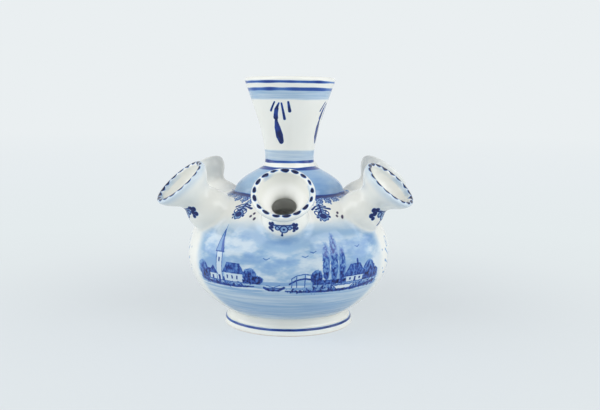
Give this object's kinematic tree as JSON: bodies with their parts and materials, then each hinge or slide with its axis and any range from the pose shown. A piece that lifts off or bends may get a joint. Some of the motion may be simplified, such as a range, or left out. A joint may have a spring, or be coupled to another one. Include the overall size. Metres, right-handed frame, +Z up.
{
  "type": "tulip vase",
  "caption": "Round glazed earthenware vase on a foot ring, with a trumpet neck and a ring of short trumpet spouts that each hold a flower stem upright.",
  "frame": {"origin": "centre of the foot ring's underside, on the vase's axis", "axes": "+Z up along the vase's axis, and the front spout points to -Y"},
  "size_m": [0.1994, 0.2214, 0.2],
  "materials": {
    "foot_glaze": "glossy white glaze with a painted blue line",
    "bowl_glaze": "glossy white glaze painted in blue washes",
    "dome_glaze": "glossy glaze with a streaky blue wash",
    "neck_glaze": "glossy white glaze with painted blue lines and strokes",
    "spout_glaze": "glossy white glaze with dark blue dashes on the lip"
  },
  "bodies": {
    "root": {"foot_ring": "foot_glaze", "bowl": "bowl_glaze", "shoulder_dome": "dome_glaze", "neck": "neck_glaze", "spout_front": "spout_glaze", "spout_front_right": "spout_glaze", "spout_back_right": "spout_glaze", "spout_back": "spout_glaze", "spout_back_left": "spout_glaze", "spout_front_left": "spout_glaze"}
  },
  "joints": []
}
